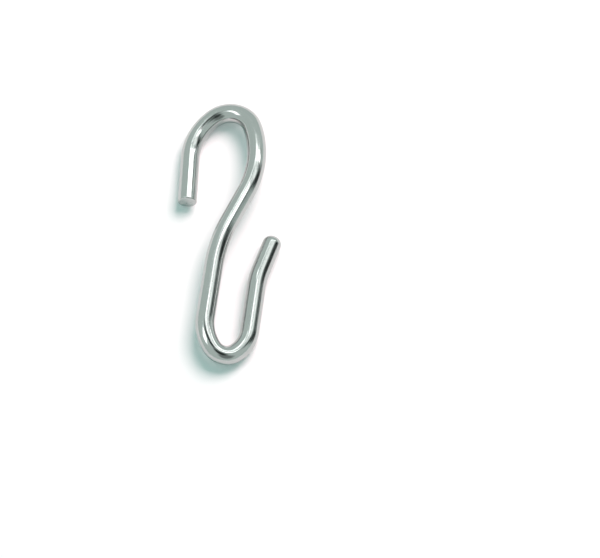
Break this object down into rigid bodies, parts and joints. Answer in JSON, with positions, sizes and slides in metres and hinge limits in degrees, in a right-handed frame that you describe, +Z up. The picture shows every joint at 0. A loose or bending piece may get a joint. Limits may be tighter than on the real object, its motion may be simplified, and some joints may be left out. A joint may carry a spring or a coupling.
{
  "type": "curb chain hook",
  "caption": "S-shaped hook bent from one length of round stainless wire, with an upper loop for a bit ring and a lower hook for a curb chain link.",
  "frame": {"origin": "centre of the footprint, at the height of the surface that the hook lies on", "axes": "+Y from the lower hook's seat to the upper loop's crown, +X towards the side that the free tip is on, +Z up from the surface that it lies on"},
  "size_m": [0.0194, 0.0526, 0.006],
  "materials": {
    "stainless_wire": "polished stainless steel wire, tumbled smooth, with a plain cut face on the upper end"
  },
  "bodies": {
    "root": {"hook_wire": "stainless_wire"}
  },
  "joints": []
}
